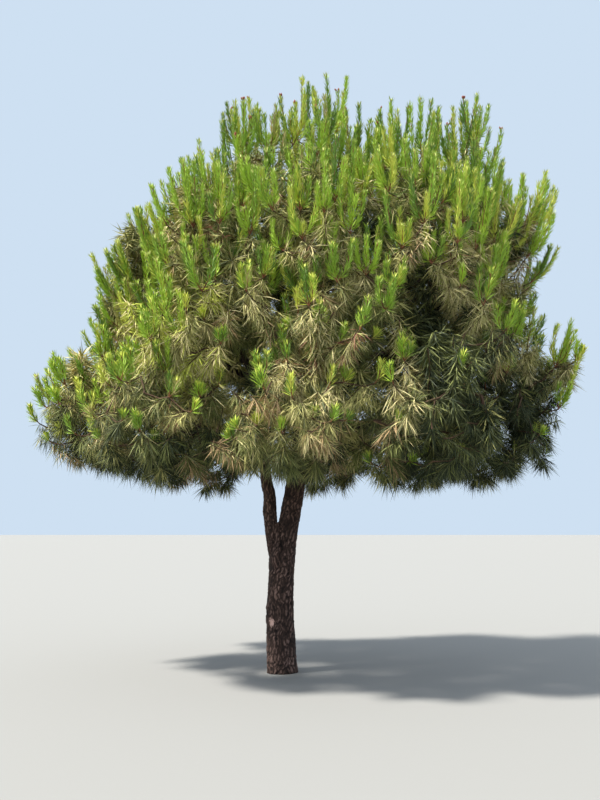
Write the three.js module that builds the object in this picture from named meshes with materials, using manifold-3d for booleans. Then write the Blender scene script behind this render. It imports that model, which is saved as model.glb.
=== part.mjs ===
// A garden pine, about 6.7 m tall: a short trunk that forks into two leaders and a rising right limb,
// boughs that leave them in tiers, and a broad round crown of separate masses of shoots and needles.
// Millimetres, +Z up. The origin is on the flat cut under the trunk, at ground level; -Y is the front, +X the right.

import * as THREE from "three";
import { mergeVertices } from "three/addons/utils/BufferGeometryUtils.js";
import Module from "manifold-3d";

const wasm = await Module();
wasm.setup();

// ---- Driving sizes ------------------------------------------------------------------------------------------------

const FORK_CUT = 1640; // height where the two leaders are sawn from the trunk's fork piece
const JOINT_GAP = 0.6; // left between two wooden pieces that meet
const MASS_GAP = 26; // left between two masses of foliage
const LIMB_CLEAR = 12; // left round a limb that runs up through foliage
const BOUGH_CLEAR = 1.004; // share by which a mass is grown where it ends a bough
const ROOT_FLARE = 0.17; // how much wider the trunk is at the ground
const FLARE_HEIGHT = 120; // height in which the flare dies out
const SHORTEST_BOUGH = 250; // boughs that show less than this between limb and mass are left out

// Limbs: points along the middle and the radius at each.
const TRUNK = {
  points: [[0, 0, 0], [-12, 2, 330], [-20, 4, 680], [-14, 2, 1030], [0, 0, 1420]],
  radii: [146, 142, 137, 133, 141],
};
const LEFT_LEADER = {
  points: [[-62, 0, 1080], [-122, 4, 1500], [-141, 6, 1810], [-183, 4, 2070], [-215, -30, 2900], [-330, -20, 3500], [-420, 10, 4150], [-400, 30, 4850], [-330, 20, 5600]],
  radii: [66, 67, 65, 62, 54, 46, 36, 25, 12],
};
const RIGHT_LEADER = {
  points: [[20, 0, 980], [64, -4, 1500], [119, -6, 1810], [159, -4, 2070], [290, 40, 2900], [410, 60, 3700], [480, 50, 4500], [490, 20, 5200], [470, 0, 5850]],
  radii: [104, 103, 105, 101, 82, 66, 48, 32, 14],
};
const RIGHT_LIMB = {
  points: [[205, 0, 2330], [520, -20, 2760], [900, -10, 3330], [1230, 0, 4000], [1450, 10, 4750], [1540, 10, 5450]],
  radii: [66, 60, 52, 42, 28, 12],
};

// Masses of foliage: centre and half sizes, in mm. Each tier goes round the crown from the left, by the front.
// "limb" is the limb that carries it and "from" the height where its bough leaves that limb.
const TIERS = {
  low: [
    { at: "left", centre: [-1850, -60, 2830], half: [790, 740, 740], limb: "left_leader", from: 2250, detail: 3 },
    { at: "left_front", centre: [-1080, -1060, 2640], half: [840, 780, 740], limb: "left_leader", from: 2180, detail: 2 },
    { at: "front", centre: [120, -1380, 2640], half: [800, 700, 700], limb: "right_leader", from: 2170, detail: 2 },
    { at: "right_front", centre: [1290, -1220, 2610], half: [820, 740, 740], limb: "right_leader", from: 2420, detail: 2 },
    { at: "right", centre: [2080, -240, 2680], half: [780, 800, 760], limb: "right_limb", from: 2520, detail: 3 },
    { at: "right_back", centre: [1760, 960, 2640], half: [800, 760, 720], limb: "right_leader", from: 2280, detail: 2 },
    { at: "back", centre: [540, 1430, 2640], half: [800, 700, 700], limb: "right_leader", from: 2360, detail: 2 },
    { at: "left_back", centre: [-1040, 1160, 2640], half: [900, 780, 740], limb: "left_leader", from: 2330, detail: 2 },
  ],
  mid: [
    { at: "left", centre: [-1480, 60, 3760], half: [740, 740, 700], limb: "left_leader", from: 3050, detail: 2 },
    { at: "left_front", centre: [-620, -1080, 3700], half: [790, 700, 720], limb: "left_leader", from: 2950, detail: 2 },
    { at: "front", centre: [620, -1240, 3660], half: [760, 660, 720], limb: "right_leader", from: 2950, detail: 2 },
    { at: "right_front", centre: [1620, -880, 3680], half: [760, 720, 720], limb: "right_limb", from: 2950, detail: 2 },
    { at: "right", centre: [2230, -20, 3760], half: [720, 720, 720], limb: "right_limb", from: 3300, detail: 2 },
    { at: "right_back", centre: [1520, 960, 3680], half: [780, 720, 720], limb: "right_limb", from: 3100, detail: 2 },
    { at: "back", centre: [360, 1300, 3700], half: [780, 660, 720], limb: "right_leader", from: 3200, detail: 2 },
    { at: "left_back", centre: [-760, 980, 3760], half: [800, 720, 720], limb: "left_leader", from: 3150, detail: 2 },
  ],
  upper: [
    { at: "left", centre: [-1530, 0, 4440], half: [610, 640, 690], limb: "left_leader", from: 3800, detail: 3 },
    { at: "left_front", centre: [-780, -860, 4660], half: [700, 640, 680], limb: "left_leader", from: 3950, detail: 2 },
    { at: "front", centre: [220, -1120, 4700], half: [720, 620, 700], limb: "right_leader", from: 3950, detail: 2 },
    { at: "right_front", centre: [1240, -1040, 4700], half: [720, 640, 700], limb: "right_leader", from: 4100, detail: 2 },
    { at: "right", centre: [2080, -420, 4720], half: [680, 640, 700], limb: "right_limb", from: 3950, detail: 2 },
    { at: "right_outer", centre: [2620, 120, 4960], half: [550, 620, 850], limb: "right_limb", from: 3800, detail: 2 },
    { at: "right_back", centre: [1480, 980, 4700], half: [820, 680, 720], limb: "right_limb", from: 4150, detail: 2 },
    { at: "left_back", centre: [-180, 1080, 4720], half: [880, 660, 720], limb: "left_leader", from: 4150, detail: 2 },
  ],
  top: [
    { at: "left", centre: [-900, 30, 5140], half: [590, 740, 680], limb: "left_leader", from: 4550, detail: 2 },
    { at: "left_summit", centre: [-290, 0, 5580], half: [530, 840, 740], detail: 3 },
    { at: "summit", centre: [460, 0, 5740], half: [520, 900, 900], detail: 3 },
    { at: "right_summit", centre: [1410, 0, 5520], half: [590, 860, 760], detail: 3 },
    { at: "right", centre: [2080, 20, 5480], half: [490, 760, 830], limb: "right_limb", from: 4700, detail: 3 },
  ],
};
// The small spray that stands out alone on the right.
const OUTLIER = { at: "right_outer", centre: [2850, -260, 3320], half: [400, 340, 520] };

// How thick a bough is where it leaves its limb, by tier, and where its line ends in the middle of its mass.
const BOUGH_ROOT = { low: 46, mid: 40, upper: 30, top: 22 };
const BOUGH_TIP = 0.42;

// ---- Helpers ------------------------------------------------------------------------------------------------------

const V = (a) => new THREE.Vector3(a[0], a[1], a[2]);

// A closed three.js geometry as a solid that can be joined and cut.
function solid(geometry) {
  const g = geometry.clone();
  g.deleteAttribute("normal");
  g.deleteAttribute("uv");
  const merged = mergeVertices(g, 1e-3);
  return new wasm.Manifold(new wasm.Mesh({
    numProp: 3,
    vertProperties: new Float32Array(merged.attributes.position.array),
    triVerts: new Uint32Array(merged.index.array),
  }));
}

// A solid as a three.js geometry.
function geometryOf(made) {
  const mesh = made.getMesh();
  const g = new THREE.BufferGeometry();
  g.setAttribute("position", new THREE.BufferAttribute(new Float32Array(mesh.vertProperties), 3));
  g.setIndex(new THREE.BufferAttribute(new Uint32Array(mesh.triVerts), 1));
  g.computeVertexNormals();
  return g;
}

// The largest separate body of a solid, without the slivers that a cut leaves.
function largest(made) {
  let best = null;
  for (const body of made.decompose())
    if (!best || body.volume() > best.volume()) best = body;
  return best;
}

// A value along a list of equal steps.
function along(list, t) {
  const x = Math.min(Math.max(t, 0), 1) * (list.length - 1);
  const i = Math.min(Math.floor(x), list.length - 2);
  return list[i] + (list[i + 1] - list[i]) * (x - i);
}

// A tapering round limb along a curve. radiusAt(t, angle, point) gives its radius; longer is added at its far end.
function limbGeometry(curve, radiusAt, sides, segments, longer = 0) {
  const g = new THREE.CylinderGeometry(1, 1, 1, sides, segments);
  const frames = [];
  let side = new THREE.Vector3(1, 0, 0);
  for (let i = 0; i <= segments; i++) {
    const t = i / segments;
    const tangent = curve.getTangent(t).normalize();
    side = side.clone().addScaledVector(tangent, -side.dot(tangent)).normalize();
    const point = curve.getPoint(t);
    if (i === segments) point.addScaledVector(tangent, longer);
    frames.push({ point, side, third: new THREE.Vector3().crossVectors(side, tangent) });
  }
  const p = g.attributes.position;
  for (let k = 0; k < p.count; k++) {
    const x = p.getX(k), y = p.getY(k), z = p.getZ(k);
    const i = Math.round((y + 0.5) * segments);
    const f = frames[i];
    const rho = Math.hypot(x, z), angle = Math.atan2(z, x);
    const r = rho * radiusAt(i / segments, angle, f.point);
    const q = f.point.clone().addScaledVector(f.side, r * Math.cos(angle)).addScaledVector(f.third, r * Math.sin(angle));
    p.setXYZ(k, q.x, q.y, q.z);
  }
  return g;
}

function smoothCurve(spec) {
  return new THREE.CatmullRomCurve3(spec.points.map(V), false, "catmullrom", 0.5);
}

// The point where a limb's curve reaches a height.
function pointAtHeight(curve, z) {
  let lo = 0, hi = 1;
  for (let k = 0; k < 40; k++) {
    const mid = (lo + hi) / 2;
    if (curve.getPoint(mid).z < z) lo = mid;
    else hi = mid;
  }
  return curve.getPoint(lo);
}

// Everything above or below a height.
function keepSide(made, z, above) {
  const box = new THREE.BoxGeometry(8000, 8000, 8000);
  box.translate(0, 0, above ? z + 4000 : z - 4000);
  return made.intersect(solid(box));
}

// ---- Trunk and limbs ----------------------------------------------------------------------------------------------

const curves = {
  left_leader: smoothCurve(LEFT_LEADER),
  right_leader: smoothCurve(RIGHT_LEADER),
  right_limb: smoothCurve(RIGHT_LIMB),
};
const specs = { left_leader: LEFT_LEADER, right_leader: RIGHT_LEADER, right_limb: RIGHT_LIMB };

function limbSolid(name, grow = 0, sides = 8, segments = 12) {
  return solid(limbGeometry(curves[name], (t) => along(specs[name].radii, t) + grow, sides, segments, grow));
}

// The trunk swells at the ground in a few blunt ribs, and its foot is cut flat.
function trunkRadius(t, angle, point) {
  const flare = ROOT_FLARE * Math.exp(-point.z / FLARE_HEIGHT);
  const ribs = 1 + 0.45 * Math.cos(3 * angle + 0.7) + 0.25 * Math.cos(5 * angle - 0.4);
  return along(TRUNK.radii, t) * (1 + flare * ribs);
}

const leftFull = limbSolid("left_leader");
const rightFull = limbSolid("right_leader");
const trunkTube = solid(limbGeometry(smoothCurve(TRUNK), trunkRadius, 15, 9));
const stubs = keepSide(leftFull.add(rightFull), FORK_CUT, false);
const trunk = keepSide(largest(trunkTube.add(stubs)), 0, true);

const leftLeader = largest(keepSide(leftFull, FORK_CUT + JOINT_GAP, true));
const rightLeader = largest(keepSide(rightFull, FORK_CUT + JOINT_GAP, true));
const rightLimb = largest(limbSolid("right_limb").subtract(limbSolid("right_leader", JOINT_GAP)));

const limbsGrown = limbSolid("left_leader", LIMB_CLEAR)
  .add(limbSolid("right_leader", LIMB_CLEAR))
  .add(limbSolid("right_limb", LIMB_CLEAR));
const limbsTight = limbSolid("left_leader", JOINT_GAP)
  .add(limbSolid("right_leader", JOINT_GAP))
  .add(limbSolid("right_limb", JOINT_GAP));

// ---- Masses of foliage --------------------------------------------------------------------------------------------

const masses = [];
for (const [tier, row] of Object.entries(TIERS))
  for (const m of row) masses.push({ ...m, tier, name: "needles_" + tier + "_" + m.at });
masses.push({ ...OUTLIER, tier: "mid", name: "needles_mid_" + OUTLIER.at, detail: 2 });
masses.forEach((m, i) => {
  m.c = V(m.centre);
  m.size = Math.cbrt(m.half[0] * m.half[1] * m.half[2]);
  m.seed = 1.7 * i + 0.3;
});

// How far a mass reaches in one direction: an ellipsoid with lumps where shoots stand in groups, flatter below,
// cut by the plane half way to each neighbour.
function reach(m, d) {
  const [a, b, c] = m.half;
  const s = m.seed;
  let r = 1 / Math.hypot(d.x / a, d.y / b, d.z / c);
  const lumps = 0.08 * Math.sin(4.4 * d.x + 2.3 * s) * Math.cos(4.0 * d.y - s)
    + 0.065 * Math.sin(6.1 * d.y + 1.9 * s + 3 * d.z)
    + 0.06 * Math.cos(6.8 * d.x - 5.2 * d.z + s)
    + (d.z > 0.25 ? 0.06 * Math.sin(9 * d.x + s) * Math.sin(9 * d.y - s) : 0);
  r *= 0.97 + lumps;
  if (d.z < 0) r *= 1 - 0.08 * d.z * d.z;
  for (const n of masses) {
    if (n === m) continue;
    const away = n.c.clone().sub(m.c);
    const dist = away.length();
    const toPlane = (dist * dist + m.size * m.size - n.size * n.size) / (2 * dist) - MASS_GAP / 2;
    const slope = d.dot(away) / dist;
    if (slope > 1e-4) r = Math.min(r, toPlane / slope);
  }
  return r;
}

function massGeometry(m, grow = 1) {
  const g = new THREE.IcosahedronGeometry(1, m.detail);
  const p = g.attributes.position;
  const d = new THREE.Vector3();
  for (let k = 0; k < p.count; k++) {
    d.fromBufferAttribute(p, k).normalize();
    const q = m.c.clone().addScaledVector(d, reach(m, d) * grow);
    p.setXYZ(k, q.x, q.y, q.z);
  }
  return g;
}

for (const m of masses) {
  m.whole = solid(massGeometry(m));
  m.grown = solid(massGeometry(m, BOUGH_CLEAR));
  m.solid = largest(m.whole.subtract(limbsGrown));
}

// ---- Boughs -------------------------------------------------------------------------------------------------------

// A bough leaves its limb, runs out and rises into the middle of its mass.
function boughCurve(m) {
  const root = pointAtHeight(curves[m.limb], m.from);
  const end = m.c;
  const out = end.clone().sub(root);
  const level = new THREE.Vector3(out.x, out.y, 0);
  return new THREE.CubicBezierCurve3(
    root,
    root.clone().addScaledVector(level, 0.38).add(new THREE.Vector3(0, 0, 0.22 * out.z)),
    end.clone().addScaledVector(level, -0.28).add(new THREE.Vector3(0, 0, -0.3 * out.z)),
    end,
  );
}

const boughs = [];
let boughsTight = null;
for (const m of masses) {
  if (!m.limb) continue;
  const root = BOUGH_ROOT[m.tier];
  const curve = boughCurve(m);
  const shape = (grow) => solid(limbGeometry(curve, (t) => root * (1 - (1 - BOUGH_TIP) * t) + grow, 6, 4));
  let made = shape(0).subtract(limbsTight).subtract(trunk);
  if (boughsTight) made = made.subtract(boughsTight);
  for (const n of masses) made = made.subtract(n.grown);
  const start = curve.getPoint(0);
  // Of the pieces left, the bough is the one at its limb.
  let best = null, nearest = 1e9;
  for (const body of made.decompose()) {
    const b = body.boundingBox();
    const size = Math.hypot(...[0, 1, 2].map((i) => b.max[i] - b.min[i]));
    if (size < SHORTEST_BOUGH) continue;
    const gap = Math.hypot(...[0, 1, 2].map((i) => {
      const v = start.getComponent(i);
      return Math.max(b.min[i] - v, v - b.max[i], 0);
    }));
    if (gap < nearest) { nearest = gap; best = body; }
  }
  if (!best || nearest > 160) continue;
  boughs.push({ name: "bough_" + m.tier + "_" + m.at, solid: best });
  boughsTight = boughsTight ? boughsTight.add(shape(JOINT_GAP)) : shape(JOINT_GAP);
}

// ---- The tree -----------------------------------------------------------------------------------------------------

const BARK = new THREE.MeshStandardMaterial({ color: 0x4a3328, roughness: 0.95, metalness: 0 });
const BOUGH_BARK = new THREE.MeshStandardMaterial({ color: 0x5a4334, roughness: 0.92, metalness: 0 });
const NEEDLES = new THREE.MeshStandardMaterial({ color: 0x5f7f2e, roughness: 0.7, metalness: 0 });

const tree = new THREE.Group();
function put(name, made, material) {
  const mesh = new THREE.Mesh(geometryOf(made), material);
  mesh.name = name;
  tree.add(mesh);
}

put("trunk", trunk, BARK);
put("leader_left", leftLeader, BARK);
put("leader_right", rightLeader, BARK);
put("limb_right", rightLimb, BARK);
for (const b of boughs) put(b.name, b.solid, BOUGH_BARK);
for (const m of masses) put(m.name, m.solid, NEEDLES);

export default tree;
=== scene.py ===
"""A garden pine: a short forked trunk with fissured bark, limbs and twigs that branch on from it, and a broad crown of
upright green shoots over drooping skirts of older needles. Metres, +Z up, the front towards -Y."""
import math

import bpy
import numpy as np
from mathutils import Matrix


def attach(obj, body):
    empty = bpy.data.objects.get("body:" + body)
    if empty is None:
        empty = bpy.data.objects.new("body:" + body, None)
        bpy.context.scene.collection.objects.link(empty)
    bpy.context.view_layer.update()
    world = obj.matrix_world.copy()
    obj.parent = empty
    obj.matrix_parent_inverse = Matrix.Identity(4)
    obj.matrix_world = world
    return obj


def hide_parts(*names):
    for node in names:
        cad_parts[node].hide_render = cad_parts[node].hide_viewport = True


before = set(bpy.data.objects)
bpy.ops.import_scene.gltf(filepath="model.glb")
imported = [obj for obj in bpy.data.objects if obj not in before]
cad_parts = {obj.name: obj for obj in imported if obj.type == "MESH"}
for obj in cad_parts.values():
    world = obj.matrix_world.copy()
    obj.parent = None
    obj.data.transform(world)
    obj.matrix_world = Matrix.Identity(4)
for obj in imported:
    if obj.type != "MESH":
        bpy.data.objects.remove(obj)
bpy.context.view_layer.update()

SEED = 41
rng = np.random.default_rng(SEED)

# ---- Sizes --------------------------------------------------------------------------------------------------------

CROWN_MIDDLE = np.array([0.25, 0.0, 3.45])
CROWN_HALF = np.array([3.0, 2.15, 3.1])
CROWN_FOOT, CROWN_TOP = 2.0, 6.65

NEEDLE_WIDTH_OLD = 0.0068
NEEDLE_WIDTH_INNER = 0.0150
SPACING = 0.203  # between whorls in the outer layer
SPACING_INNER = 0.33
TWIG_TIP = 0.0065

# Limbs: points along the middle and the radius at each, in mm.
TRUNK = (
    [(0, 0, 0), (-12, 2, 330), (-20, 4, 680), (-14, 2, 1030), (0, 0, 1420)],
    [146, 142, 137, 133, 141],
)
LEFT_LEADER = (
    [(-62, 0, 1080), (-122, 4, 1500), (-141, 6, 1810), (-183, 4, 2070), (-215, -30, 2900), (-330, -20, 3500),
     (-420, 10, 4150), (-400, 30, 4850), (-330, 20, 5600)],
    [66, 67, 65, 62, 54, 46, 36, 25, 12],
)
RIGHT_LEADER = (
    [(20, 0, 980), (64, -4, 1500), (119, -6, 1810), (159, -4, 2070), (290, 40, 2900), (410, 60, 3700),
     (480, 50, 4500), (490, 20, 5200), (470, 0, 5850)],
    [104, 103, 105, 101, 82, 66, 48, 32, 14],
)
RIGHT_LIMB = (
    [(205, 0, 2330), (520, -20, 2760), (900, -10, 3330), (1230, 0, 4000), (1450, 10, 4750), (1540, 10, 5450)],
    [66, 60, 52, 42, 28, 12],
)
ROOT_FLARE, FLARE_HEIGHT = 0.17, 0.12

# Masses of foliage: name, centre, half sizes, the limb that carries it and the height where its bough leaves, in mm.
MASSES = [
    ("low_left", (-1850, -60, 2830), (790, 740, 740), "left_leader", 2250),
    ("low_left_front", (-1080, -1060, 2640), (840, 780, 740), "left_leader", 2180),
    ("low_front", (120, -1380, 2640), (800, 700, 700), "right_leader", 2170),
    ("low_right_front", (1290, -1220, 2610), (820, 740, 740), "right_leader", 2420),
    ("low_right", (2080, -240, 2680), (780, 800, 760), "right_limb", 2520),
    ("low_right_back", (1760, 960, 2640), (800, 760, 720), "right_leader", 2280),
    ("low_back", (540, 1430, 2640), (800, 700, 700), "right_leader", 2360),
    ("low_left_back", (-1040, 1160, 2640), (900, 780, 740), "left_leader", 2330),
    ("mid_left", (-1480, 60, 3760), (740, 740, 700), "left_leader", 3050),
    ("mid_left_front", (-620, -1080, 3700), (790, 700, 720), "left_leader", 2950),
    ("mid_front", (620, -1240, 3660), (760, 660, 720), "right_leader", 2950),
    ("mid_right_front", (1620, -880, 3680), (760, 720, 720), "right_limb", 2950),
    ("mid_right", (2230, -20, 3760), (720, 720, 720), "right_limb", 3300),
    ("mid_right_back", (1520, 960, 3680), (780, 720, 720), "right_limb", 3100),
    ("mid_back", (360, 1300, 3700), (780, 660, 720), "right_leader", 3200),
    ("mid_left_back", (-760, 980, 3760), (800, 720, 720), "left_leader", 3150),
    ("upper_left", (-1530, 0, 4440), (610, 640, 690), "left_leader", 3800),
    ("upper_left_front", (-780, -860, 4660), (700, 640, 680), "left_leader", 3950),
    ("upper_front", (220, -1120, 4700), (720, 620, 700), "right_leader", 3950),
    ("upper_right_front", (1240, -1040, 4700), (720, 640, 700), "right_leader", 4100),
    ("upper_right", (2080, -420, 4720), (680, 640, 700), "right_limb", 3950),
    ("upper_right_outer", (2620, 120, 4960), (550, 620, 850), "right_limb", 3800),
    ("upper_right_back", (1480, 980, 4700), (820, 680, 720), "right_limb", 4150),
    ("upper_left_back", (-180, 1080, 4720), (880, 660, 720), "left_leader", 4150),
    ("top_left", (-900, 30, 5140), (590, 740, 680), "left_leader", 4550),
    ("top_left_summit", (-290, 0, 5580), (530, 840, 740), None, 0),
    ("top_summit", (460, 0, 5740), (520, 900, 900), None, 0),
    ("top_right_summit", (1410, 0, 5520), (590, 860, 760), None, 0),
    ("top_right", (2080, 20, 5480), (490, 760, 830), "right_limb", 4700),
    ("mid_right_outer", (2850, -260, 3320), (400, 340, 520), None, 0),
]
CENTRES = np.array([m[1] for m in MASSES]) / 1000
HALVES = np.array([m[2] for m in MASSES]) / 1000
MASS_SIZES = np.cbrt(HALVES.prod(1))
MASS_GAP = 0.026
BOUGH_ROOT = {"low": 0.046, "mid": 0.040, "upper": 0.030, "top": 0.022}
BOUGH_TIP = 0.36


# Deep gaps between the masses, where little grows: middle and half sizes, in metres.
HOLLOWS = [
    (np.array([1.50, -1.45, 3.40]), np.array([0.22, 0.70, 0.44])),
    (np.array([-0.26, -1.25, 3.20]), np.array([0.21, 0.68, 0.42])),
    (np.array([1.95, -1.10, 3.05]), np.array([0.40, 0.60, 0.14])),
]


# ---- Colours ------------------------------------------------------------------------------------------------------

def colour(r, g, b):
    """An sRGB colour of 0 to 255 as the linear one that a shader takes."""
    c = np.array([r, g, b]) / 255
    c = np.where(c <= 0.04045, c / 12.92, ((c + 0.055) / 1.055) ** 2.4)
    return (float(c[0]), float(c[1]), float(c[2]), 1.0)


# Plain colours that are dealt out by spray.
NEEDLE_COLOURS = {
    "new_bright": (158, 188, 66),
    "new_mid": (134, 165, 62),
    "new_deep": (100, 132, 54),
    "new_tip": (190, 196, 112),
    "new_yellow": (190, 198, 84),
    "old_green": (112, 118, 66),
    "old_olive": (166, 162, 100),
    "old_straw": (206, 194, 140),
    "old_tan": (176, 148, 108),
    "dead_rust": (142, 98, 76),
    "inner_green": (88, 94, 60),
    # The darkest green stands partly for old needles deep in the crown and partly for painted shade.
    "inner_dark": (46, 55, 34),
}


# ---- Helpers ------------------------------------------------------------------------------------------------------

def unit(v):
    v = np.asarray(v, float)
    return v / np.maximum(np.linalg.norm(v, axis=-1, keepdims=True), 1e-12)


def smooth(a, b, x):
    t = np.clip((x - a) / (b - a), 0, 1)
    return t * t * (3 - 2 * t)


def spline(points, t):
    """Points on the smooth line through all the given points, at t from 0 to 1."""
    p = np.asarray(points, float)
    n = len(p)
    x = np.clip(np.atleast_1d(np.asarray(t, float)), 0, 1) * (n - 1)
    i = np.minimum(x.astype(int), n - 2)
    w = (x - i)[:, None]
    e = np.vstack([2 * p[0] - p[1], p, 2 * p[-1] - p[-2]])
    p0, p1, p2, p3 = e[i], e[i + 1], e[i + 2], e[i + 3]
    a, b = 0.5 * (p2 - p0), 0.5 * (p3 - p1)
    return p1 + a * w + (-3 * p1 + 3 * p2 - 2 * a - b) * w**2 + (2 * p1 - 2 * p2 + a + b) * w**3


def along(values, t):
    v = np.asarray(values, float)
    return np.interp(np.clip(t, 0, 1) * (len(v) - 1), np.arange(len(v)), v)


def bezier(p0, p1, p2, p3, t):
    t = np.asarray(t, float)[:, None]
    return (1 - t) ** 3 * p0 + 3 * (1 - t) ** 2 * t * p1 + 3 * (1 - t) * t**2 * p2 + t**3 * p3


LIMBS = {
    "left_leader": (np.array(LEFT_LEADER[0]) / 1000, np.array(LEFT_LEADER[1]) / 1000),
    "right_leader": (np.array(RIGHT_LEADER[0]) / 1000, np.array(RIGHT_LEADER[1]) / 1000),
    "right_limb": (np.array(RIGHT_LIMB[0]) / 1000, np.array(RIGHT_LIMB[1]) / 1000),
}


def t_at_height(points, z):
    t = np.linspace(0, 1, 2001)
    return float(np.interp(z, spline(points, t)[:, 2], t))


class Mesh:
    """Vertices and triangles gathered from many small pieces, with one number a vertex for the bark's depth."""

    def __init__(self):
        self.verts, self.faces, self.depth, self.count = [], [], [], 0

    def add(self, verts, faces, depth=None):
        self.verts.append(np.asarray(verts, np.float32))
        self.faces.append(np.asarray(faces, np.int32) + self.count)
        self.depth.append(np.ones(len(verts), np.float32) if depth is None else np.asarray(depth, np.float32))
        self.count += len(verts)

    def triangles(self):
        return sum(len(f) for f in self.faces)

    def build(self, name, material, smooth_shaded, depth=False):
        verts, faces = np.concatenate(self.verts), np.concatenate(self.faces)
        me = bpy.data.meshes.new(name)
        me.vertices.add(len(verts))
        me.vertices.foreach_set("co", verts.ravel())
        me.loops.add(faces.size)
        me.loops.foreach_set("vertex_index", faces.ravel())
        me.polygons.add(len(faces))
        me.polygons.foreach_set("loop_start", np.arange(len(faces), dtype=np.int32) * 3)
        me.polygons.foreach_set("use_smooth", np.full(len(faces), smooth_shaded))
        if depth:
            attribute = me.attributes.new("bark_depth", "FLOAT", "POINT")
            attribute.data.foreach_set("value", np.concatenate(self.depth))
        me.update(calc_edges=True)
        me.materials.append(material)
        o = bpy.data.objects.new(name, me)
        bpy.context.scene.collection.objects.link(o)
        return o


def ring_frames(points):
    """Two directions across a line at each of its points, turned as little as possible from one to the next."""
    tangent = unit(np.gradient(points, axis=0))
    side = np.zeros_like(points)
    s = np.array([1.0, 0, 0])
    if abs(tangent[0][0]) > 0.9:
        s = np.array([0, 1.0, 0])
    for i, t in enumerate(tangent):
        s = s - t * (s @ t)
        s = s / np.linalg.norm(s)
        side[i] = s
    return side, np.cross(tangent, side)


def tube(mesh, points, radii, sides, depth=None, cap=True):
    """A tube along points. radii is one number for each point, or one for each point and side."""
    points = np.asarray(points, float)
    n = len(points)
    radii = np.asarray(radii, float)
    if radii.ndim == 1:
        radii = np.repeat(radii[:, None], sides, 1)
    side, third = ring_frames(points)
    a = np.arange(sides) * 2 * math.pi / sides
    ring = side[:, None, :] * np.cos(a)[None, :, None] + third[:, None, :] * np.sin(a)[None, :, None]
    verts = (points[:, None, :] + ring * radii[:, :, None]).reshape(-1, 3)
    i = np.arange(n - 1)[:, None] * sides
    j = np.arange(sides)[None, :]
    k = (j + 1) % sides
    a0, a1, b0, b1 = i + j, i + k, i + sides + j, i + sides + k
    faces = np.concatenate([
        np.stack([a0, a1, b1], -1).reshape(-1, 3),
        np.stack([a0, b1, b0], -1).reshape(-1, 3),
    ])
    d = np.ones(len(verts)) if depth is None else np.asarray(depth, float).reshape(-1)
    if cap:
        verts = np.vstack([verts, points[0], points[-1]])
        d = np.append(d, [d[0], d[-1]])
        j = np.arange(sides)
        k = (j + 1) % sides
        top = (n - 1) * sides
        faces = np.vstack([
            faces,
            np.stack([np.full(sides, n * sides), k, j], -1),
            np.stack([np.full(sides, n * sides + 1), top + j, top + k], -1),
        ])
    mesh.add(verts, faces, d)


# ---- Bark ---------------------------------------------------------------------------------------------------------

def hashed(a, b, seed):
    x = np.sin(a * 127.1 + b * 311.7 + seed * 74.7) * 43758.5453
    return x - np.floor(x)


def cells(u, v, around, seed, jitter=0.9):
    """How far each point is from the middle of its cell and from the next one, on a grid that closes round the limb."""
    iu, iv = np.floor(u), np.floor(v)
    first, second, mark = np.full(u.shape, 9.0), np.full(u.shape, 9.0), np.zeros(u.shape)
    for du in (-1, 0, 1):
        for dv in (-1, 0, 1):
            cu, cv = iu + du, iv + dv
            wrapped = np.mod(cu, around)
            x = cu + 0.5 + jitter * (hashed(wrapped, cv, seed) - 0.5) - u
            y = cv + 0.5 + jitter * (hashed(wrapped, cv, seed + 1.3) - 0.5) - v
            d = np.hypot(x, y)
            closer = d < first
            second = np.where(closer, first, np.minimum(second, d))
            mark = np.where(closer, hashed(wrapped, cv, seed + 2.9), mark)
            first = np.where(closer, d, first)
    return first, second, mark


def noise(u, v, around, seed):
    """Smooth random values from 0 to 1 on a grid that closes round the limb."""
    iu, iv = np.floor(u), np.floor(v)
    x, y = u - iu, v - iv
    x, y = x * x * (3 - 2 * x), y * y * (3 - 2 * y)
    left, right = np.mod(iu, around), np.mod(iu + 1, around)
    low = hashed(left, iv, seed) * (1 - x) + hashed(right, iv, seed) * x
    high = hashed(left, iv + 1, seed) * (1 - x) + hashed(right, iv + 1, seed) * x
    return low * (1 - y) + high * y


def bark(angle, height, girth, seed, plate=0.032, fissure=0.011):
    """Relief in metres, and how high each point stands in it, 0 to 1: long rough plates parted by fissures, and
    smaller flakes on them. angle and height are arrays over the limb's surface; girth is its round length."""
    turn = angle / (2 * math.pi)
    wide = max(int(round(girth / 0.11)), 3)
    around = max(int(round(girth / plate)), 4)
    step = girth / wide
    drift = noise(turn * wide, height / step, wide, seed + 31) - 0.5
    shake = noise(turn * wide * 4, height / step * 4, wide * 4, seed + 37) - 0.5
    lines = max(int(round(girth / (plate * 1.25))), 3)
    furrow = np.abs(np.mod(turn * lines + 2.4 * drift + 0.9 * shake + 0.5, 1.0) - 0.5) * 2
    furrow = smooth(0.02, 0.50, furrow)
    u = turn * around + 1.7 * drift + 0.75 * shake
    v = height / (plate * 3.1) + 1.1 * (noise(turn * wide * 2, height / step * 2, wide * 2, seed + 41) - 0.5) + 0.4 * shake
    first, second, mark = cells(u, v, around, seed)
    plateau = (0.30 + 0.70 * smooth(0.0, 0.42, second - first)) * (0.25 + 0.75 * furrow)
    small = around * 2
    u2 = turn * small + 2.2 * drift + 1.6 * shake
    v2 = height / (plate * 0.8) + 1.2 * shake
    f2, s2, mark2 = cells(u2, v2, small, seed + 17, 1.0)
    flake = smooth(0.0, 0.30, s2 - f2)
    rise = plateau * (0.42 + 0.38 * mark) + (0.25 + 0.75 * plateau) * flake * (0.06 + 0.24 * mark2)
    rise = np.clip(rise + 0.16 * shake, 0, 1.05)
    return fissure * (rise - 0.55), rise


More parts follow.
